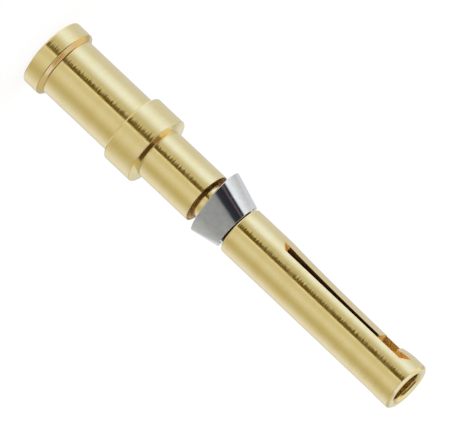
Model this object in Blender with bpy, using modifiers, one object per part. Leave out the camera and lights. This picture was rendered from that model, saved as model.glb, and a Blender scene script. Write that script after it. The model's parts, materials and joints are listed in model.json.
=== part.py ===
import math

import bmesh
import bpy
from mathutils import Matrix, Vector

# Crimp socket contact: a turned contact body with a sawn spring tongue, and a split conical clip.
# It stands on its crimp end, with +Z along its axis to the mating end. The tongue faces -X.
# All lengths are metres and all angles are degrees.

# Stretches of the turned body, from the crimp end upwards
flange_diameter = 0.00377
flange_length = 0.0009
shoulder_length = 0.00021
barrel_diameter = 0.00324
barrel_length = 0.00441
collar_diameter = 0.00381
collar_length = 0.00169
seat_diameter = 0.00276
seat_length = 0.00343
neck_diameter = 0.00192
neck_length = 0.00229
socket_diameter = 0.00263
socket_length = 0.01127

# Front ring and mouth of the socket
ring_step = 0.00002
ring_length = 0.0008
mouth_chamfer = 0.00014
lead_in_chamfer = 0.0001

# Bores, both drilled
wire_bore_diameter = 0.002
wire_bore_depth = 0.0056
wire_lead_in = 0.00015
pin_bore_diameter = 0.00165
pin_bore_depth = 0.01
drill_point_angle = 118
inspection_hole_diameter = 0.0009
inspection_hole_inset = 0.0009

# Small breaks on the outer edges, and what the nose of the turning tool leaves in the corners
edge_break = 0.00005
corner_fillet = 0.00005
shoulder_round = 0.00009

# Spring tongue: two saw cuts beside it, and a cross cut that frees its end
tongue_width = 0.00104
tongue_set = 0.00015
slit_width = 0.00033
saw_diameter = 0.016
saw_centre_from_mouth = 0.00491
cross_cut_length = 0.00101
cross_cut_from_mouth = 0.00148
cross_cut_floor_from_axis = 0.00042
tongue_corner_set_back = 0.00008

# Retaining clip, a rolled sleeve that opens out towards the crimp end
clip_thickness = 0.00018
clip_neck_clearance = 0.000155
clip_flare_angle = 15.2
clip_front_play = 0.00025
clip_rear_play = 0.000335
clip_slit_angle = 14

# How the loose clip lies, with its slit on the side away from this bearing. Each rim has its own rise
# towards the bearing, its own slope across it, and its own shift to one side.
clip_lean_bearing = -101.5
clip_front_lean = 0.13
clip_rear_lean = 0.095
clip_front_slope = 0.047
clip_rear_slope = -0.063
clip_front_shift = 0.00003
clip_rear_shift = 0.000175

# Fineness of the round and bent shapes
turned_sides = 96
saw_sides = 256
inspection_hole_sides = 32
tongue_bend_steps = 9
tongue_bend_crowding = 1.5
sharp_angle = 30
merge_distance = 0.000001

# Finishes
gold_colour = (0.86, 0.70, 0.36)
gold_roughness = 0.22
steel_colour = (0.76, 0.76, 0.75)
steel_roughness = 0.3

# Heights of the shoulders above the crimp end
shoulder_front = flange_length + shoulder_length
collar_rear = shoulder_front + barrel_length
collar_front = collar_rear + collar_length
seat_front = collar_front + seat_length
socket_rear = seat_front + neck_length
mouth = socket_rear + socket_length
socket_radius = socket_diameter / 2
tongue_end = mouth - cross_cut_from_mouth - cross_cut_length
saw_centre = mouth - saw_centre_from_mouth


def clear_scene():
    for obj in list(bpy.data.objects):
        bpy.data.objects.remove(obj, do_unlink=True)


def new_collection(name):
    collection = bpy.data.collections.new(name)
    bpy.context.scene.collection.children.link(collection)
    return collection


def add_object(name, mesh, collection):
    obj = bpy.data.objects.new(name, mesh)
    collection.objects.link(obj)
    return obj


def metal(name, colour, roughness):
    material = bpy.data.materials.new(name)
    material.use_nodes = True
    shader = material.node_tree.nodes["Principled BSDF"]
    shader.inputs["Base Color"].default_value = (*colour, 1)
    shader.inputs["Metallic"].default_value = 1
    shader.inputs["Roughness"].default_value = roughness
    return material


def drill_point(diameter):
    return diameter / 2 / math.tan(math.radians(drill_point_angle / 2))


def broken_edges(corners):
    """An outline of (radius, height) points from corners that each state the size of their break or fillet."""
    outline = []
    for i, (radius, height, size) in enumerate(corners):
        here = Vector((radius, height))
        if not size:
            outline.append(here)
            continue
        for j in (i - 1, i + 1):
            there = Vector(corners[j][:2])
            outline.append(here + (there - here).normalized() * size)
    return outline


def body_outline():
    pin_bore = pin_bore_diameter / 2
    wire_bore = wire_bore_diameter / 2
    flange = flange_diameter / 2
    barrel = barrel_diameter / 2
    collar = collar_diameter / 2
    seat = seat_diameter / 2
    neck = neck_diameter / 2
    ring = socket_radius + ring_step
    pin_bore_end = mouth - pin_bore_depth
    return broken_edges([
        (0, pin_bore_end - drill_point(pin_bore_diameter), 0),
        (pin_bore, pin_bore_end, 0),
        (pin_bore, mouth, lead_in_chamfer),
        (ring, mouth, mouth_chamfer),
        (ring, mouth - ring_length, 0),
        (socket_radius, mouth - ring_length - ring_step, 0),
        (socket_radius, socket_rear, edge_break),
        (neck, socket_rear, corner_fillet),
        (neck, seat_front, corner_fillet),
        (seat, seat_front, edge_break),
        (seat, collar_front, corner_fillet),
        (collar, collar_front, edge_break),
        (collar, collar_rear, edge_break),
        (barrel, collar_rear, corner_fillet),
        (barrel, shoulder_front, shoulder_round),
        (flange, flange_length, shoulder_round),
        (flange, 0, edge_break),
        (wire_bore, 0, wire_lead_in),
        (wire_bore, wire_bore_depth, 0),
        (0, wire_bore_depth + drill_point(wire_bore_diameter), 0),
    ])


def turned(name, outline, collection):
    mesh = bpy.data.meshes.new(name)
    points = [(radius, 0, height) for radius, height in outline]
    edges = [(i, i + 1) for i in range(len(points) - 1)]
    mesh.from_pydata(points, edges, [])
    obj = add_object(name, mesh, collection)
    screw = obj.modifiers.new("turning", "SCREW")
    screw.steps = turned_sides
    screw.render_steps = turned_sides
    screw.use_merge_vertices = True
    screw.merge_threshold = merge_distance
    return obj


def add_cutter(name, bm, collection):
    mesh = bpy.data.meshes.new(name)
    bm.to_mesh(mesh)
    bm.free()
    cutter = add_object(name, mesh, collection)
    cutter.hide_render = True
    cutter.display_type = "WIRE"
    return cutter


def round_cutter(name, diameter, length, sides, collection):
    bm = bmesh.new()
    bmesh.ops.create_cone(
        bm, cap_ends=True, segments=sides, radius1=diameter / 2, radius2=diameter / 2, depth=length
    )
    return add_cutter(name, bm, collection)


def saw_cutters(collection):
    """The two saw discs, plunged side by side down to the body's axis."""
    offset = (tongue_width + slit_width) / 2
    cutters = []
    for name, side in (("saw_front", -1), ("saw_back", 1)):
        saw = round_cutter(name, saw_diameter, slit_width, saw_sides, collection)
        saw.rotation_euler.x = math.radians(90)
        saw.location = (-saw_diameter / 2, side * offset, saw_centre)
        cutters.append(saw)
    return cutters


def cross_cutter(collection):
    """A block that takes the wall out between the tongue's end and the ring, from slit to slit."""
    bm = bmesh.new()
    bmesh.ops.create_cube(bm, size=1)
    width = tongue_width + slit_width
    bmesh.ops.scale(bm, vec=(socket_diameter, width, cross_cut_length), verts=bm.verts)
    cutter = add_cutter("cross_cut", bm, collection)
    cutter.location.x = -cross_cut_floor_from_axis - socket_diameter / 2
    cutter.location.z = tongue_end + cross_cut_length / 2
    return cutter


def inspection_cutter(collection):
    """A drill that opens the barrel's +Y side near the bottom of its wire bore."""
    hole = round_cutter(
        "inspection_drill", inspection_hole_diameter, barrel_diameter, inspection_hole_sides, collection
    )
    hole.rotation_euler.x = math.radians(90)
    hole.location = (0, barrel_diameter / 2, wire_bore_depth - inspection_hole_inset)
    return hole


def cut(obj, cutters):
    for cutter in cutters:
        boolean = obj.modifiers.new(cutter.name, "BOOLEAN")
        boolean.operation = "DIFFERENCE"
        boolean.solver = "EXACT"
        boolean.object = cutter


def apply_modifiers(obj):
    bpy.context.view_layer.update()
    depsgraph = bpy.context.evaluated_depsgraph_get()
    mesh = bpy.data.meshes.new_from_object(obj.evaluated_get(depsgraph))
    obj.modifiers.clear()
    obj.data = mesh
    mesh.name = obj.name


def saw_floor(height):
    """How far from the axis the saw's rim runs, towards the tongue, at a height."""
    along = height - saw_centre
    radius = saw_diameter / 2
    return radius - math.sqrt(max(radius**2 - along**2, 0))


def tongue_root():
    rim = math.sqrt(socket_radius**2 - (tongue_width / 2) ** 2)
    radius = saw_diameter / 2
    return saw_centre - math.sqrt(radius**2 - (radius - rim) ** 2)


def set_tongue(mesh):
    """Sets the corners of the tongue's end back, and bends it inwards in steps, most of it near the root."""
    root = tongue_root()
    length = tongue_end - root
    wall = (socket_diameter - pin_bore_diameter) / 2
    side = tongue_width / 2 + merge_distance

    def on_tongue(point):
        return abs(point.y) < side and point.x < 0 and point.z < tongue_end + merge_distance

    bm = bmesh.new()
    bm.from_mesh(mesh)
    for step in range(tongue_bend_steps):
        height = root + length * (step / tongue_bend_steps) ** tongue_bend_crowding
        faces = [f for f in bm.faces if on_tongue(f.calc_center_median())]
        edges = {e for f in faces for e in f.edges}
        verts = {v for f in faces for v in f.verts}
        bmesh.ops.bisect_plane(
            bm,
            geom=[*faces, *edges, *verts],
            dist=merge_distance,
            plane_co=(0, 0, height),
            plane_no=(0, 0, 1),
        )
    for v in bm.verts:
        if on_tongue(v.co) and v.co.z > root:
            share = 1 - (1 - (v.co.z - root) / length) ** 2
            free = min(max((-v.co.x - saw_floor(v.co.z)) / wall, 0), 1)
            if v.co.z > tongue_end - merge_distance:
                v.co.z -= tongue_corner_set_back * abs(v.co.y) / (tongue_width / 2)
            v.co.x += tongue_set * share * free
    bm.to_mesh(mesh)
    bm.free()


def smooth(mesh):
    mesh.shade_smooth()
    mesh.set_sharp_from_angle(angle=math.radians(sharp_angle))


def make_contact_body(parts, cutters, material):
    body = turned("contact_body", body_outline(), parts)
    cut(body, saw_cutters(cutters))
    cut(body, [cross_cutter(cutters), inspection_cutter(cutters)])
    apply_modifiers(body)
    set_tongue(body.data)
    smooth(body.data)
    body.data.materials.clear()
    body.data.materials.append(material)
    return body


def lean_clip(mesh, front, length):
    """Leans the rolled sleeve, as it lies loose in its groove."""
    bearing = math.radians(clip_lean_bearing)
    leaning = Vector((math.cos(bearing), math.sin(bearing), 0))
    aside = leaning.cross(Vector((0, 0, 1)))
    for v in mesh.vertices:
        share = (front - v.co.z) / length
        lean = clip_front_lean + (clip_rear_lean - clip_front_lean) * share
        slope = clip_front_slope + (clip_rear_slope - clip_front_slope) * share
        shift = clip_front_shift + (clip_rear_shift - clip_front_shift) * share
        rise = lean * v.co.dot(leaning) + slope * v.co.dot(aside)
        v.co += aside * shift
        v.co.z += rise


def make_retaining_clip(parts, material):
    front = socket_rear - clip_front_play
    length = neck_length - clip_front_play - clip_rear_play
    front_radius = neck_diameter / 2 + clip_neck_clearance + clip_thickness
    rear_radius = front_radius + length * math.tan(math.radians(clip_flare_angle))
    outline = [(front_radius, front), (rear_radius, front - length)]
    clip = turned("retaining_clip", outline, parts)
    clip.modifiers["turning"].angle = math.radians(360 - clip_slit_angle)
    wall = clip.modifiers.new("wall", "SOLIDIFY")
    wall.thickness = clip_thickness
    wall.offset = -1
    wall.use_even_offset = True
    apply_modifiers(clip)
    slit_to_far_side = math.radians(clip_lean_bearing + 180 + clip_slit_angle / 2)
    clip.data.transform(Matrix.Rotation(slit_to_far_side, 4, "Z"))
    lean_clip(clip.data, front, length)
    smooth(clip.data)
    clip.data.materials.append(material)
    return clip


clear_scene()
contact_parts = new_collection("crimp_socket_contact")
contact_cutters = new_collection("cutters")
make_contact_body(contact_parts, contact_cutters, metal("gold_plating", gold_colour, gold_roughness))
make_retaining_clip(contact_parts, metal("spring_steel", steel_colour, steel_roughness))
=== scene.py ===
import json
import math

import bmesh
import bpy
from mathutils import Matrix, Vector

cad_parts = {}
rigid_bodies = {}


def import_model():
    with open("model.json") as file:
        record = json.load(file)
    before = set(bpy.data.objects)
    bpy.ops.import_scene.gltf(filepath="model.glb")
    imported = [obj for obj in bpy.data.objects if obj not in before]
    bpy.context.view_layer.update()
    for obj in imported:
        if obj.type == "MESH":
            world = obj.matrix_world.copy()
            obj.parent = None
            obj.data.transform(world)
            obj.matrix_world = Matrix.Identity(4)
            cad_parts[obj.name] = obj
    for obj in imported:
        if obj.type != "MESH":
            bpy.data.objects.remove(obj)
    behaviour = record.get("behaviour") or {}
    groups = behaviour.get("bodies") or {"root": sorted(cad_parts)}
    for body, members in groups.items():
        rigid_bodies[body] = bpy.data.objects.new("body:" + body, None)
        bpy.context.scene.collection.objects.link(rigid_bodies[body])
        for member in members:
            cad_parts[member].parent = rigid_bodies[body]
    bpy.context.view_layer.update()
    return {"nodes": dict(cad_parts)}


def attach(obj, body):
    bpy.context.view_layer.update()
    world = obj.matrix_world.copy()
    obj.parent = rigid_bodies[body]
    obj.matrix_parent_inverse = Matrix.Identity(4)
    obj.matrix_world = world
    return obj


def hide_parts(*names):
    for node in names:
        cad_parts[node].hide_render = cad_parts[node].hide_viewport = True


# Looks of a crimp socket contact: a turned, gold-plated body and a rolled steel clip in its groove.
# Shapes are worked out in millimetres and angles in degrees. mm turns them into metres.
mm = 0.001
hair = 0.0005  # millimetres within which two points or two heights are the same one

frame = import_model()
print("frame loaded:", ", ".join(sorted(frame["nodes"])))


# one output of a node, so that shader maths reads as plain maths
class Wire:
    def __init__(self, net, socket):
        self.net = net
        self.socket = socket

    def __add__(self, other):
        return self.net.maths("ADD", self, other)

    def __radd__(self, other):
        return self.net.maths("ADD", other, self)

    def __sub__(self, other):
        return self.net.maths("SUBTRACT", self, other)

    def __rsub__(self, other):
        return self.net.maths("SUBTRACT", other, self)

    def __mul__(self, other):
        return self.net.maths("MULTIPLY", self, other)

    def __rmul__(self, other):
        return self.net.maths("MULTIPLY", other, self)

    def __truediv__(self, other):
        return self.net.maths("DIVIDE", self, other)

    def __rtruediv__(self, other):
        return self.net.maths("DIVIDE", other, self)


# the node tree of one material or of the world
class Net:
    def __init__(self, owner):
        owner.use_nodes = True
        self.tree = owner.node_tree
        self.tree.nodes.clear()

    # any node: its settings are set first, then the values or links of its sockets
    def add(self, kind, settings=None, sockets=None, out=0):
        node = self.tree.nodes.new(kind)
        for name, value in (settings or {}).items():
            if name == "stops":
                self.fillRamp(node.color_ramp, *value)
            else:
                setattr(node, name, value)
        for name, value in (sockets or {}).items():
            self.feed(self.pick(node.inputs, name), value)
        return Wire(self, self.pick(node.outputs, out)) if node.outputs else None

    def pick(self, sockets, name):
        if isinstance(name, int):
            return sockets[name]
        return next(s for s in sockets if s.enabled and s.name == name)

    def feed(self, socket, value):
        if isinstance(value, Wire):
            self.tree.links.new(value.socket, socket)
        elif socket.type == "RGBA":
            socket.default_value = (*value, 1)
        else:
            socket.default_value = value

    def fillRamp(self, ramp, easing, stops):
        ramp.interpolation = easing
        ramp.elements.remove(ramp.elements[1])
        ramp.elements[0].position = stops[0][0]
        ramp.elements[0].color = (*stops[0][1], 1)
        for place, tone in stops[1:]:
            ramp.elements.new(place).color = (*tone, 1)

    def maths(self, operation, *values):
        return self.add("ShaderNodeMath", {"operation": operation}, dict(enumerate(values)))

    # 0 below low, 1 above high, with a soft change between them
    def rise(self, value, low, high):
        sockets = {"Value": value, "From Min": low, "From Max": high}
        return self.add("ShaderNodeMapRange", {"interpolation_type": "SMOOTHSTEP"}, sockets)

    def blend(self, share, first, second):
        sockets = {"Factor": share, "A": first, "B": second}
        return self.add("ShaderNodeMix", {"data_type": "RGBA"}, sockets, "Result")

    def noise(self, where, detail, grain=0.5):
        sockets = {"Vector": where, "Scale": 1, "Detail": detail, "Roughness": grain}
        return self.add("ShaderNodeTexNoise", {}, sockets)

    # the height is in millimetres
    def bump(self, height):
        sockets = {"Strength": 1, "Distance": mm, "Height": height}
        return self.add("ShaderNodeBump", {}, sockets)

    def dot(self, first, second):
        settings = {"operation": "DOT_PRODUCT"}
        return self.add("ShaderNodeVectorMath", settings, {0: first, 1: second}, "Value")


def between(first, last, share):
    return first + (last - first) * share


# two level directions: out from the axis on a bearing, and across that
def levelAxes(bearing):
    angle = math.radians(bearing)
    outward = Vector((math.cos(angle), math.sin(angle), 0))
    return outward, outward.cross(Vector((0, 0, 1)))


def collect(name, bm):
    mesh = bpy.data.meshes.new(name)
    bm.to_mesh(mesh)
    bm.free()
    piece = bpy.data.objects.new(name, mesh)
    bpy.context.scene.collection.objects.link(piece)
    return piece


# makes a piece's modifiers part of its mesh
def settle(piece):
    bpy.context.view_layer.update()
    depsgraph = bpy.context.evaluated_depsgraph_get()
    mesh = bpy.data.meshes.new_from_object(piece.evaluated_get(depsgraph))
    piece.modifiers.clear()
    piece.data = mesh
    mesh.name = piece.name


# an outline with each corner rounded over its own size, measured along both of its sides
def roundedOutline(corners, stepsPerCorner):
    outline = []
    for i, (radius, height, size) in enumerate(corners):
        here = Vector((radius, height))
        if not size:
            outline.append(here)
            continue
        before = here + (Vector(corners[i - 1][:2]) - here).normalized() * size
        after = here + (Vector(corners[i + 1][:2]) - here).normalized() * size
        for step in range(stepsPerCorner + 1):
            t = step / stepsPerCorner
            outline.append(before * (1 - t) ** 2 + here * 2 * t * (1 - t) + after * t**2)
    return outline


# turns an outline round the axis, the whole way or through a part of it
def turned(name, outline, sides, angle=360):
    bm = bmesh.new()
    points = [bm.verts.new((radius, 0, height)) for radius, height in outline]
    for first, second in zip(points, points[1:]):
        bm.edges.new((first, second))
    piece = collect(name, bm)
    screw = piece.modifiers.new("turning", "SCREW")
    screw.angle = math.radians(angle)
    screw.steps = sides
    screw.render_steps = sides
    screw.use_merge_vertices = True
    screw.merge_threshold = hair
    settle(piece)
    return piece


# cuts the cutters out of a piece, and leaves each cutter's finish on what it cut
def subtract(piece, cutters):
    for cutter in cutters:
        boolean = piece.modifiers.new(cutter.name, "BOOLEAN")
        boolean.operation = "DIFFERENCE"
        boolean.solver = "EXACT"
        boolean.material_mode = "TRANSFER"
        boolean.object = cutter
    settle(piece)
    for cutter in cutters:
        bpy.data.objects.remove(cutter)


# a saw or drill that lies across the axis, with a finish for its flat ends and one for its rim
def roundCutter(name, width, length, sides, finishes=()):
    bm = bmesh.new()
    bmesh.ops.create_cone(
        bm, cap_ends=True, segments=sides, radius1=width / 2, radius2=width / 2, depth=length
    )
    for f in bm.faces:
        f.material_index = int(len(finishes) > 1 and len(f.verts) == 4)
    cutter = collect(name, bm)
    for finish in finishes:
        cutter.data.materials.append(finish)
    cutter.rotation_euler.x = math.radians(90)
    return cutter


# cuts a band of faces through at a height
def cutAcross(bm, faces, height):
    around = dict.fromkeys(part for f in faces for part in (*f.edges, *f.verts))
    bmesh.ops.bisect_plane(
        bm, geom=[*faces, *around], dist=hair, plane_co=(0, 0, height), plane_no=(0, 0, 1)
    )


# smooth shading in which the broad faces keep their own direction and the small rounded ones turn
shading = dict(sharpAngle=40, weight=100, sameArea=0.002)


# shades a piece and then brings it to metres, at which size its faces are too small for the shading
def shadeAndScale(piece):
    piece.data.shade_smooth()
    piece.data.set_sharp_from_angle(angle=math.radians(shading["sharpAngle"]))
    weighted = piece.modifiers.new("weighted normals", "WEIGHTED_NORMAL")
    weighted.mode = "FACE_AREA"
    weighted.weight = shading["weight"]
    weighted.thresh = shading["sameArea"]
    weighted.keep_sharp = True
    settle(piece)
    piece.data.transform(Matrix.Scale(mm, 4))


# contact body, in millimetres, with heights counted from the crimp end
body = dict(
    flange=3.77, flangeLength=0.92, shoulderLength=0.19,
    barrel=3.24, barrelLength=4.41,
    collar=3.81, collarLength=1.69,
    seat=2.76, seatLength=3.46,
    neck=1.92, neckLength=2.21, darkNeck=0.5,
    socket=2.63, socketLength=11.32,
    ringStep=0.02, ringLength=0.8, ringBlend=0.3,
    mouthChamfer=0.11, mouthRound=0.012, leadIn=0.25,
    wireBore=2.0, wireDepth=5.6, wireLeadIn=0.15,
    pinBore=1.65, pinDepth=10.0, drillAngle=118,
    inspectionHole=0.9, inspectionInset=0.9, holeSides=64,
    frontEdge=0.03, rearEdge=0.09, socketRearEdge=0.11, fillet=0.025,
    shoulderRound=0.04, shoulderFillet=0.055, collarCone=0.10, seatCone=0.05,
    cornerSteps=6, sides=288,
)

# spring tongue, sawn out of the socket's wall on the -X side and set inwards
tongue = dict(
    width=1.04, inset=0.15, slit=0.35,
    saw=16.0, sawFromMouth=4.91, sawSides=360,
    crossCut=1.01, crossCutFromMouth=1.48, crossCutFloor=0.42, cornerSetBack=0.08,
    bendSteps=26, bendCrowding=1.5, stubSteps=6, stubLength=0.62, stubInset=0.08,
    sawnEdge=0.034, sawnEdgeSteps=3, sharpAngle=50, edgeMargin=0.01, rootMargin=0.6,
    windowReach=0.15, rootReach=0.45,
)

shoulderFront = body["flangeLength"] + body["shoulderLength"]
collarRear = shoulderFront + body["barrelLength"]
collarFront = collarRear + body["collarLength"]
seatFront = collarFront + body["seatLength"]
socketRear = seatFront + body["neckLength"]
mouth = socketRear + body["socketLength"]
tongueEnd = mouth - tongue["crossCutFromMouth"] - tongue["crossCut"]
sawCentre = mouth - tongue["sawFromMouth"]
socketRadius = body["socket"] / 2
sawRadius = tongue["saw"] / 2


# from the bottom of the pin bore over the outside to the bottom of the wire bore. Each corner has
# its distance from the axis, its height, and how far it is rounded.
def bodyOutline():
    pinBore = body["pinBore"] / 2
    wireBore = body["wireBore"] / 2
    ring = socketRadius + body["ringStep"]
    ringRear = mouth - body["ringLength"]
    tip = math.tan(math.radians(body["drillAngle"] / 2))
    front = body["frontEdge"]
    rear = body["rearEdge"]
    fillet = body["fillet"]
    corners = [
        (0, mouth - body["pinDepth"] - pinBore / tip, 0),
        (pinBore, mouth - body["pinDepth"], 0),
        (pinBore, mouth, body["leadIn"]),
        (ring - body["mouthChamfer"], mouth, body["mouthRound"]),
        (ring, mouth - body["mouthChamfer"], body["mouthRound"]),
        (ring, ringRear, 0),
        (socketRadius, ringRear - body["ringBlend"], 0),
        (socketRadius, socketRear, body["socketRearEdge"]),
        (body["neck"] / 2, socketRear, fillet),
        (body["neck"] / 2, socketRear - body["darkNeck"], 0),
        (body["neck"] / 2, seatFront, fillet),
        (body["seat"] / 2, seatFront - body["seatCone"], front),
        (body["seat"] / 2, collarFront + body["collarCone"], fillet),
        (body["collar"] / 2, collarFront, front),
        (body["collar"] / 2, collarRear, rear),
        (body["barrel"] / 2, collarRear, fillet),
        (body["barrel"] / 2, shoulderFront, body["shoulderFillet"]),
        (body["flange"] / 2, body["flangeLength"], body["shoulderRound"]),
        (body["flange"] / 2, 0, rear),
        (wireBore, 0, body["wireLeadIn"]),
        (wireBore, body["wireDepth"], 0),
        (0, body["wireDepth"] + wireBore / tip, 0),
    ]
    return roundedOutline(corners, body["cornerSteps"])


# the two saws beside the tongue, the cross cut that frees its end, and the inspection hole's drill
def bodyCutters(sawnFinish, windowFinish):
    saws = []
    for name, side in (("sawFront", -1), ("sawBack", 1)):
        saw = roundCutter(
            name, tongue["saw"], tongue["slit"], tongue["sawSides"], (sawnFinish, windowFinish)
        )
        saw.location = (-sawRadius, side * (tongue["width"] + tongue["slit"]) / 2, sawCentre)
        saws.append(saw)
    bm = bmesh.new()
    bmesh.ops.create_cube(bm, size=1)
    size = (body["socket"], tongue["width"] + tongue["slit"], tongue["crossCut"])
    bmesh.ops.scale(bm, vec=size, verts=bm.verts)
    crossCut = collect("crossCut", bm)
    crossCut.data.materials.append(windowFinish)
    crossCut.location.x = -tongue["crossCutFloor"] - socketRadius
    crossCut.location.z = tongueEnd + tongue["crossCut"] / 2
    hole = roundCutter("inspectionDrill", body["inspectionHole"], body["barrel"], body["holeSides"])
    hole.location = (0, body["barrel"] / 2, body["wireDepth"] - body["inspectionInset"])
    return [*saws, crossCut, hole]


# how far the saw's rim stands from the axis at a height
def sawFloor(height):
    return sawRadius - math.sqrt(max(sawRadius**2 - (height - sawCentre) ** 2, 0))


# the height at which the saw cuts run out of the socket's wall
def tongueRoot():
    rim = math.sqrt(socketRadius**2 - (tongue["width"] / 2) ** 2)
    return sawCentre - math.sqrt(sawRadius**2 - (sawRadius - rim) ** 2)


# sets the corners of the tongue's end back, and bends it inwards, most of it near its root
def setTongue(bm):
    root = tongueRoot()
    length = tongueEnd - root
    halfWidth = tongue["width"] / 2
    wall = (body["socket"] - body["pinBore"]) / 2

    def onTongue(point):
        return abs(point.y) < halfWidth + hair and point.x < 0 and point.z < tongueEnd + hair

    for step in range(tongue["bendSteps"]):
        height = root + length * (step / tongue["bendSteps"]) ** tongue["bendCrowding"]
        cutAcross(bm, [f for f in bm.faces if onTongue(f.calc_center_median())], height)
    for v in bm.verts:
        if onTongue(v.co) and v.co.z > root:
            share = 1 - (1 - (v.co.z - root) / length) ** 2
            free = min(max((-v.co.x - sawFloor(v.co.z)) / wall, 0), 1)
            if v.co.z > tongueEnd - hair:
                v.co.z -= tongue["cornerSetBack"] * abs(v.co.y) / halfWidth
            v.co.x += tongue["inset"] * share * free


# the stub that the cross cut leaves on the ring leans in a little too
def setStub(bm):
    low = mouth - tongue["crossCutFromMouth"]
    length = tongue["stubLength"]

    def onStub(point):
        return abs(point.y) < tongue["width"] / 2 + hair and point.x < 0 and point.z > low - hair

    for step in range(1, tongue["stubSteps"] + 1):
        height = low + length * step / tongue["stubSteps"]
        cutAcross(bm, [f for f in bm.faces if onStub(f.calc_center_median())], height)
    for v in bm.verts:
        if onStub(v.co) and v.co.z < low + length:
            v.co.x += tongue["stubInset"] * (1 - (v.co.z - low) / length) ** 2


# the saw leaves sharp edges, which tumbling and plating round a little
def roundSawnEdges(bm):
    reach = tongue["width"] / 2 + tongue["slit"] + tongue["edgeMargin"]
    low = tongueRoot() - tongue["rootMargin"]
    high = mouth - body["ringLength"]
    sawn = []
    for e in bm.edges:
        if len(e.link_faces) != 2 or e.calc_face_angle() < math.radians(tongue["sharpAngle"]):
            continue
        middle = (e.verts[0].co + e.verts[1].co) / 2
        if middle.x < 0 and abs(middle.y) < reach and low < middle.z < high:
            sawn.append(e)
    bmesh.ops.bevel(
        bm, geom=sawn, offset=tongue["sawnEdge"], offset_type="OFFSET", affect="EDGES",
        segments=tongue["sawnEdgeSteps"], profile=0.5, clamp_overlap=True, material=0,
    )


# plating lies thin in the bores and at both ends of the slits. The flange's shoulder, the seat's
# corner, the middle of the saw's flanks and the neck in the clip's shade get painted shade
def finishHollowsAndShade(bm, slots):
    windowRear = tongueEnd - tongue["windowReach"]
    rootFront = tongueRoot() + tongue["rootReach"]
    cutAcross(bm, [f for f in bm.faces if f.material_index == slots["sawn"]], windowRear)
    neck = body["neck"] / 2
    seat = body["seat"] / 2 - body["frontEdge"]
    seatReach = body["seatCone"] + body["fillet"]
    for f in bm.faces:
        middle = f.calc_center_median()
        across = math.hypot(middle.x, middle.y)
        boreWidth = body["pinBore"] if middle.z > seatFront else body["wireBore"]
        # painted shade: the saw's flanks keep the dark finish between the tongue's root and the
        # window, and take the window's finish beyond
        if f.material_index == slots["sawn"]:
            if not rootFront < middle.z < windowRear:
                f.material_index = slots["window"]
        elif f.material_index == slots["window"]:
            continue
        elif across < boreWidth / 2 + hair:
            f.material_index = slots["bore"]
        # painted shade: the corner in front of the seat and the flange's shoulder take a darker,
        # warmer gold
        elif neck < across < seat and abs(middle.z - seatFront) < seatReach:
            f.material_index = slots["cornerShade"]
        elif body["flangeLength"] < middle.z < shoulderFront + body["shoulderFillet"]:
            f.material_index = slots["shoulderShade"]
        # painted shade: the neck in the clip's shade takes the dark finish of the saw's flanks
        elif across < neck + body["fillet"] and 0 < socketRear - middle.z < body["darkNeck"]:
            f.material_index = slots["sawn"]


def makeContactBody(finishes):
    piece = turned("contactBody", bodyOutline(), body["sides"])
    for finish in finishes.values():
        piece.data.materials.append(finish)
    subtract(piece, bodyCutters(finishes["sawn"], finishes["window"]))
    bm = bmesh.new()
    bm.from_mesh(piece.data)
    setTongue(bm)
    setStub(bm)
    bmesh.ops.remove_doubles(bm, verts=bm.verts, dist=hair)
    roundSawnEdges(bm)
    finishHollowsAndShade(bm, {name: slot for slot, name in enumerate(finishes)})
    bm.to_mesh(piece.data)
    bm.free()
    shadeAndScale(piece)
    return piece


# retaining clip, rolled from strip. It opens out towards the crimp end and leans as its solid does.
# Each rim has its own rise towards the bearing, its own slope across it, and its own shift aside.
clip = dict(
    thickness=0.18, neckClearance=0.165, flareAngle=15.2, slitAngle=14,
    frontPlay=0.20, rearPlay=0.335, leanBearing=-101.5,
    frontLean=0.13, rearLean=0.095, frontSlope=0.047, rearSlope=-0.063,
    frontShift=0.03, rearShift=0.175,
    rows=13, sides=288, edgeRound=0.03, edgeSteps=3, sharpAngle=50,
)


def makeRetainingClip():
    front = socketRear - clip["frontPlay"]
    length = body["neckLength"] - clip["frontPlay"] - clip["rearPlay"]
    frontRadius = body["neck"] / 2 + clip["neckClearance"] + clip["thickness"]
    rearRadius = frontRadius + length * math.tan(math.radians(clip["flareAngle"]))
    outline = []
    for row in range(clip["rows"]):
        share = row / (clip["rows"] - 1)
        outline.append((between(frontRadius, rearRadius, share), front - length * share))
    piece = turned("retainingClip", outline, clip["sides"], 360 - clip["slitAngle"])
    wall = piece.modifiers.new("wall", "SOLIDIFY")
    wall.thickness = clip["thickness"]
    wall.offset = -1
    wall.use_even_offset = True
    rims = piece.modifiers.new("rims", "BEVEL")
    rims.width = clip["edgeRound"]
    rims.segments = clip["edgeSteps"]
    rims.limit_method = "ANGLE"
    rims.angle_limit = math.radians(clip["sharpAngle"])
    settle(piece)
    slitToFarSide = math.radians(clip["leanBearing"] + 180 + clip["slitAngle"] / 2)
    piece.data.transform(Matrix.Rotation(slitToFarSide, 4, "Z"))
    leaning, aside = levelAxes(clip["leanBearing"])
    for v in piece.data.vertices:
        share = (front - v.co.z) / length
        lean = between(clip["frontLean"], clip["rearLean"], share)
        slope = between(clip["frontSlope"], clip["rearSlope"], share)
        rise = lean * v.co.dot(leaning) + slope * v.co.dot(aside)
        v.co += aside * between(clip["frontShift"], clip["rearShift"], share)
        v.co.z += rise
    shadeAndScale(piece)
    return piece


# a point of the surface, in millimetres
def placeInMm(net):
    place = net.add("ShaderNodeTexCoord", out="Object")
    inMm = net.add("ShaderNodeVectorMath", {"operation": "SCALE"}, {0: place, "Scale": 1 / mm})
    return [net.add("ShaderNodeSeparateXYZ", {}, {0: inMm}, i) for i in range(3)]


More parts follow.
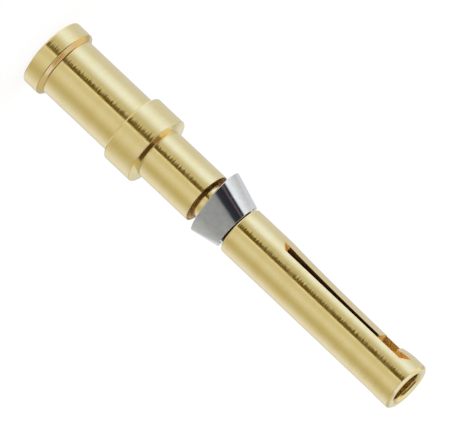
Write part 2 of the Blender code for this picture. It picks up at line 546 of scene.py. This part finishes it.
# places for noise that runs round the axis: more alike round it than along it
def ringPlaces(net, along, around):
    x, y, z = placeInMm(net)
    radius = net.maths("SQRT", x * x + y * y)
    sockets = {"X": x * around, "Y": y * around, "Z": (z + radius) * along}
    return net.add("ShaderNodeCombineXYZ", {}, sockets)


# a noise as a change to both sides of zero
def swing(noise, size):
    return (noise - 0.5) * size


def metalSurface(net, tone, roughness, normal):
    shader = {"Base Color": tone, "Metallic": 1, "Roughness": roughness, "Normal": normal}
    surface = net.add("ShaderNodeBsdfPrincipled", {}, shader)
    net.add("ShaderNodeOutputMaterial", {}, {"Surface": surface})


# gold plating over turned brass: fine rings round the axis, which break up and change along it
gold = dict(
    tone=(0.90, 0.765, 0.41), deepTone=(0.90, 0.745, 0.37), paleTone=(0.91, 0.79, 0.46),
    roughness=0.12, roughnessSwing=0.08, waveRoughness=0.3,
    ringHeight=0.0075, ringAlong=8, ringAround=0.7, ringDetail=3,
    waveHeight=0.003, waveAlong=2.2, waveAround=0.4, waveDetail=2, waveChange=(0.35, 0.65),
    patchSize=6.0, patchDetail=3, patchGrain=0.6, patchChange=(0.45, 0.75),
)


def goldPlating():
    material = bpy.data.materials.new("goldPlating")
    net = Net(material)
    rings = net.noise(ringPlaces(net, gold["ringAlong"], gold["ringAround"]), gold["ringDetail"])
    waves = net.noise(ringPlaces(net, gold["waveAlong"], gold["waveAround"]), gold["waveDetail"])
    places = ringPlaces(net, gold["patchSize"], gold["patchSize"])
    patches = net.noise(places, gold["patchDetail"], gold["patchGrain"])
    toned = net.blend(net.rise(waves, *gold["waveChange"]), gold["tone"], gold["deepTone"])
    toned = net.blend(net.rise(patches, *gold["patchChange"]), toned, gold["paleTone"])
    change = swing(patches, gold["roughnessSwing"]) + swing(waves, gold["waveRoughness"])
    height = rings * gold["ringHeight"] + waves * gold["waveHeight"]
    metalSurface(net, toned, gold["roughness"] + change, net.bump(height))
    return material


# on the saw cuts' flanks the brass is bare and rough, with grooves. Its dark tone is painted shade:
# the shadow in the narrow slits, and on the neck under the clip
sawn = dict(
    tone=(0.15, 0.055, 0.02), deepTone=(0.05, 0.018, 0.008), change=(0.3, 0.7),
    roughness=0.42, roughnessSwing=0.2,
    ringHeight=0.006, ringAlong=9, ringAround=1.2, ringDetail=3, ringGrain=0.6,
)

# where the plating is thin its warm brass shows through, in the drilled bores and in the window
# between the tongue and the ring; in the seat's corner and on the flange's shoulder the darker gold
# is painted shade
thinAndShaded = dict(change=(0.35, 0.65), ringDetail=2, ringGrain=0.5)
bore = dict(
    thinAndShaded, tone=(0.84, 0.66, 0.27), deepTone=(0.78, 0.54, 0.18),
    roughness=0.26, roughnessSwing=0.06, ringHeight=0.0005, ringAlong=6, ringAround=0.5,
)
window = dict(
    thinAndShaded, tone=(1.0, 0.80, 0.30), deepTone=(1.0, 0.68, 0.20),
    roughness=0.85, roughnessSwing=0.15, ringHeight=0.0006, ringAlong=3, ringAround=3,
)
# painted shade: a dark brown gold in the corner in front of the seat, where shade falls
cornerShade = dict(
    thinAndShaded, tone=(0.72, 0.37, 0.07), deepTone=(0.34, 0.14, 0.025),
    roughness=0.34, roughnessSwing=0.15, ringHeight=0.002, ringAlong=5, ringAround=1.5,
)
# painted shade: a darker, warmer gold on the flange's shoulder
shoulderShade = dict(
    thinAndShaded, tone=(0.84, 0.63, 0.30), deepTone=(0.77, 0.53, 0.21),
    roughness=0.16, roughnessSwing=0.08, ringHeight=0.003, ringAlong=7, ringAround=0.7,
)


def wornAndShadedPlating(name, look):
    material = bpy.data.materials.new(name)
    net = Net(material)
    places = ringPlaces(net, look["ringAlong"], look["ringAround"])
    rings = net.noise(places, look["ringDetail"], look["ringGrain"])
    toned = net.blend(net.rise(rings, *look["change"]), look["tone"], look["deepTone"])
    roughness = look["roughness"] + swing(rings, look["roughnessSwing"])
    metalSurface(net, toned, roughness, net.bump(rings * look["ringHeight"]))
    return material


# bright rolled spring steel: almost a mirror, with faint waves and a few dull specks. The bell
# bows its reflections a little from rim to rim.
steel = dict(
    tone=(0.87, 0.87, 0.86), deepTone=(0.78, 0.79, 0.77), roughness=0.11, roughnessSwing=0.08,
    waveHeight=0.004, waveAlong=0.8, waveAround=1.6, waveDetail=2,
    speckSize=5, speckDetail=3, speckGrain=0.6, speckChange=(0.35, 0.75), bell=0.04,
)


def springSteel():
    material = bpy.data.materials.new("springSteel")
    net = Net(material)
    places = ringPlaces(net, steel["speckSize"], steel["speckSize"])
    specks = net.noise(places, steel["speckDetail"], steel["speckGrain"])
    waves = net.noise(ringPlaces(net, steel["waveAlong"], steel["waveAround"]), steel["waveDetail"])
    fromMiddle = placeInMm(net)[2] - (socketRear - body["neckLength"] / 2)
    toned = net.blend(net.rise(specks, *steel["speckChange"]), steel["tone"], steel["deepTone"])
    roughness = steel["roughness"] + swing(specks, steel["roughnessSwing"])
    height = waves * steel["waveHeight"] + fromMiddle * fromMiddle * steel["bell"]
    metalSurface(net, toned, roughness, net.bump(height))
    return material


# the dark sawn finish and the corner's and shoulder's gold carry painted shade
contactBody = makeContactBody({
    "plating": goldPlating(),
    "sawn": wornAndShadedPlating("sawnBrass", sawn),
    "bore": wornAndShadedPlating("boredGold", bore),
    "window": wornAndShadedPlating("windowGold", window),
    "cornerShade": wornAndShadedPlating("cornerShadedGold", cornerShade),
    "shoulderShade": wornAndShadedPlating("shoulderShadedGold", shoulderShade),
})
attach(contactBody, "root")
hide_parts("contact_body")
print("contact body:", len(contactBody.data.polygons), "faces")

retainingClip = makeRetainingClip()
retainingClip.data.materials.append(springSteel())
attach(retainingClip, "root")
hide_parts("retaining_clip")
print("retaining clip:", len(retainingClip.data.polygons), "faces")

# the photograph's view: the camera looks at the upright contact from a little above, rolled over
view = dict(
    bearing=-101.5, elevation=14.4, lens=1000, sensor=36, nearest=0.1, farthest=100,
    crimpEnd=(51.08, 51.95), matingEnd=(405.55, 386.68), width=450, height=432,
)


# places the camera so that the centres of the two ends fall on their pixels
def makeCamera():
    near, aside = levelAxes(view["bearing"])
    tilt = math.radians(view["elevation"])
    toCamera = near * math.cos(tilt) + Vector((0, 0, math.sin(tilt)))
    along = Vector((0, 0, math.cos(tilt))) - near * math.sin(tilt)
    start = Vector(view["crimpEnd"])
    run = Vector(view["matingEnd"]) - start
    cos = run.x / run.length
    sin = run.y / run.length
    right = along * cos + aside * sin
    up = aside * cos - along * sin
    pixel = mouth * mm * math.cos(tilt) / run.length
    distance = pixel * view["width"] / view["sensor"] * view["lens"]
    middle = Vector((view["width"], view["height"])) / 2 - start
    target = right * middle.x * pixel - up * middle.y * pixel
    data = bpy.data.cameras.new("camera")
    data.lens = view["lens"]
    data.sensor_width = view["sensor"]
    data.clip_start = distance * view["nearest"]
    data.clip_end = distance * view["farthest"]
    camera = bpy.data.objects.new("camera", data)
    bpy.context.scene.collection.objects.link(camera)
    turn = Matrix((right, up, toCamera)).transposed().to_4x4()
    camera.matrix_world = Matrix.Translation(target + toCamera * distance) @ turn
    bpy.context.scene.camera = camera


makeCamera()
print("camera placed")

# soft light tent, in rings of tones one above the other. A direction is a bearing from the camera's
# side, counted towards the tongue's side, and a height above the horizon. The upright gold mirrors
# the low ring, the clip the high one, and the sloping faces the rest. The dark slot in the low ring
# draws the thin line along the gold. The low ring's lights and gaps follow the broad bands that the
# photograph shows round the contact.
tent = dict(
    lowTones=[
        (-180, (0.62, 0.62, 0.60)),
        (-132, (0.86, 0.88, 0.98)),  # rear light on the far side
        (-72, (0.57, 0.52, 0.34)),
        (-32, (0.76, 0.74, 0.66)),  # front light
        (-14, (0.69, 0.67, 0.55)),
        (-5, (0.69, 0.66, 0.52)),
        (0, (0.86, 0.82, 0.66)),  # gleam beside the slot
        (32, (0.60, 0.57, 0.42)),
        (66, (0.94, 1.05, 1.32)),  # main light on the tongue's side
        (112, (0.71, 0.73, 0.76)),
        (140, (0.70, 0.71, 0.77)),  # faint rear light
        (180, (0.62, 0.62, 0.60)),
    ],
    highTones=[
        (-180, (0.78, 0.80, 0.82)),
        (-168, (0.72, 0.74, 0.72)),
        (-150, (0.60, 0.62, 0.57)),
        (-120, (0.55, 0.57, 0.52)),
        (-84, (0.46, 0.46, 0.44)),
        (-60, (0.36, 0.36, 0.35)),
        (0, (0.34, 0.34, 0.33)),
        (14, (0.28, 0.28, 0.28)),
        (22, (0.032, 0.033, 0.042)),
        (51, (0.022, 0.023, 0.032)),
        (56, (0.17, 0.13, 0.13)),
        (60, (0.05, 0.04, 0.045)),
        (64, (0.015, 0.015, 0.02)),
        (70, (0.015, 0.015, 0.02)),
        (75, (0.90, 0.95, 1.0)),
        (90, (0.92, 0.94, 0.97)),
        (110, (0.74, 0.76, 0.76)),
        (140, (0.60, 0.61, 0.60)),
        (162, (0.54, 0.54, 0.54)),
        (172, (0.72, 0.74, 0.76)),
        (180, (0.78, 0.80, 0.82)),
    ],
    upperTones=[
        (-180, (0.80, 0.76, 0.66)),
        (-92, (0.62, 0.56, 0.44)),
        (-78, (0.12, 0.065, 0.02)),
        (0, (0.09, 0.048, 0.014)),
        (12, (0.11, 0.06, 0.02)),
        (22, (0.30, 0.21, 0.11)),
        (56, (0.36, 0.26, 0.14)),
        (68, (0.90, 0.83, 0.70)),
        (180, (0.95, 0.92, 0.88)),
    ],
    underTones=[
        (-180, (0.45, 0.40, 0.30)),
        (-20, (0.42, 0.37, 0.26)),
        (0, (0.95, 0.98, 1.05)),
        (180, (0.95, 0.98, 1.05)),
    ],
    zenith=(0.88, 0.95, 1.15), ground=(1.0, 1.04, 1.16), nadir=(0.66, 0.46, 0.28),
    lowToHigh=(-1, 4), highToUpper=(26, 31), upperToZenith=(54, 64),
    lowToUnder=(-25, -31), underToGround=(-40, -46), groundToNadir=(-56, -63),
    farSide=(-45, -75), farSideLift=10,
    slotTone=(0.145, 0.095, 0.018), slotStart=(2.8, 5.2), slotEnd=22, slotEndSoft=3,
    slant=1.35, highMiddle=17.5, background=1.0,
)


def makeTent():
    near, aside = levelAxes(view["bearing"])
    world = bpy.data.worlds.new("lightTent")
    bpy.context.scene.world = world
    net = Net(world)
    way = net.add("ShaderNodeTexCoord", out="Generated")
    bearing = net.maths("ARCTAN2", net.dot(way, aside), net.dot(way, near)) * math.degrees(1)
    rise = net.add("ShaderNodeSeparateXYZ", {}, {0: way}, "Z")
    height = net.maths("ARCSINE", rise) * math.degrees(1)

    def ring(name, where, easing="LINEAR"):
        stops = [((place + 180) / 360, tone) for place, tone in tent[name]]
        return net.add("ShaderNodeValToRGB", {"stops": (easing, stops)}, {0: (where + 180) / 360})

    slotStart = net.rise(bearing, *tent["slotStart"])
    slotEnd = tent["slotEnd"] + (height + view["elevation"]) * tent["slant"]
    beforeEnd = net.rise(slotEnd - bearing, -tent["slotEndSoft"], tent["slotEndSoft"])
    low = net.blend(slotStart * beforeEnd, ring("lowTones", bearing, "EASE"), tent["slotTone"])
    high = ring("highTones", bearing - (height - tent["highMiddle"]) * tent["slant"])
    lift = net.rise(bearing, *tent["farSide"]) * tent["farSideLift"]
    tones = net.blend(net.rise(height + lift, *tent["lowToHigh"]), low, high)
    rest = {
        "highToUpper": ring("upperTones", bearing), "upperToZenith": tent["zenith"],
        "lowToUnder": ring("underTones", bearing), "underToGround": tent["ground"],
        "groundToNadir": tent["nadir"],
    }
    for border, tone in rest.items():
        tones = net.blend(net.rise(height, *tent[border]), tones, tone)
    seen = net.add("ShaderNodeLightPath", out="Is Camera Ray")
    shown = net.blend(seen, tones, (tent["background"],) * 3)
    surface = net.add("ShaderNodeBackground", {}, {"Color": shown, "Strength": 1})
    net.add("ShaderNodeOutputWorld", {}, {"Surface": surface})


# pale floor: white to the camera, with a faint shadow round the foot of the part, clear in the
# metal's reflections, and plain to everything else
floor = dict(size=4.0, glow=0.8, paint=0.36, plain=0.8)


def makeFloor():
    bm = bmesh.new()
    bmesh.ops.create_grid(bm, x_segments=1, y_segments=1, size=floor["size"] / 2)
    piece = collect("floor", bm)
    material = bpy.data.materials.new("palePaper")
    net = Net(material)
    paper = net.add("ShaderNodeBsdfDiffuse", {}, {"Color": (floor["paint"],) * 3})
    glow = net.add("ShaderNodeEmission", {}, {"Color": (1, 1, 1), "Strength": floor["glow"]})
    lit = net.add("ShaderNodeAddShader", {}, {0: paper, 1: glow})
    plain = net.add("ShaderNodeBsdfDiffuse", {}, {"Color": (floor["plain"],) * 3})
    clear = net.add("ShaderNodeBsdfTransparent", {}, {"Color": (1, 1, 1)})
    seen = net.add("ShaderNodeLightPath", out="Is Camera Ray")
    glossy = net.add("ShaderNodeLightPath", out="Is Glossy Ray")
    toCamera = net.add("ShaderNodeMixShader", {}, {0: seen, 1: plain, 2: lit})
    surface = net.add("ShaderNodeMixShader", {}, {0: glossy, 1: toCamera, 2: clear})
    net.add("ShaderNodeOutputMaterial", {}, {"Surface": surface})
    piece.data.materials.append(material)


makeTent()
makeFloor()
bpy.context.scene.view_settings.view_transform = "Standard"
print("tent and floor ready")
